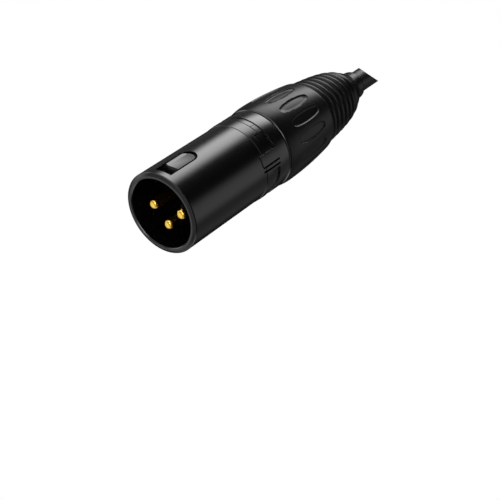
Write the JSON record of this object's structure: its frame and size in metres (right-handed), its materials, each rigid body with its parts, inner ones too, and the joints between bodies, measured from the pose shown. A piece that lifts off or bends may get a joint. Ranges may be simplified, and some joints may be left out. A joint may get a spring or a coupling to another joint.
{
  "type": "xlr plug",
  "caption": "Round male audio cable plug: glossy black barrel with a latch window, gold contact pins in an open cup, and a screw-on rubber boot round a cut cable stub.",
  "frame": {"origin": "centre of the open mating rim, on which the plug stands", "axes": "+Z along the plug's axis from the mating rim towards the cable's cut end; -Y towards the latch window and the key rib"},
  "size_m": [0.0202, 0.0202, 0.0855],
  "materials": {
    "black_coating": "glossy black coating on die-cast zinc",
    "carrier_plastic": "satin black moulding",
    "spring_metal": "tinned spring strip",
    "gold_plating": "polished gold plating",
    "solder": "dull solder",
    "copper": "bare copper strands",
    "red_insulation": "satin",
    "white_insulation": "satin",
    "sleeve_plastic": "shrink sleeve",
    "jacket": "satin black",
    "cotton": "twisted cotton",
    "chuck_plastic": "satin moulding",
    "nut_plastic": "hard moulded core",
    "boot_rubber": "satin black"
  },
  "bodies": {
    "shell": {"shell": "black_coating", "insert": "carrier_plastic", "ground_spring": "spring_metal", "solder_fills": "solder", "hot_conductor": "copper", "cold_conductor": "copper", "hot_insulation": "red_insulation", "cold_insulation": "white_insulation", "drain_wire": "copper", "drain_sleeve": "sleeve_plastic", "cable_jacket": "jacket", "cable_shield": "copper", "cable_fillers": "cotton", "pin_1": "gold_plating", "pin_2": "gold_plating", "pin_3": "gold_plating"},
    "chuck": {"chuck": "chuck_plastic"},
    "boot": {"gland_nut": "nut_plastic", "boot_sleeve": "boot_rubber"}
  },
  "joints": [
    {"name": "chuck_slide", "type": "slide", "parent": "shell", "child": "chuck", "axis": [0, 0, 1], "range_m": [0, 0.006]},
    {"name": "boot_turn", "type": "hinge", "parent": "chuck", "child": "boot", "pos_m": [0, 0, 0.045], "axis": [0, 0, 1], "range_deg": [0, 1440]}
  ],
  "couplings": [
    {"joint": "chuck_slide", "follows": "boot_turn", "m_per_rad": 0.0002387}
  ]
}
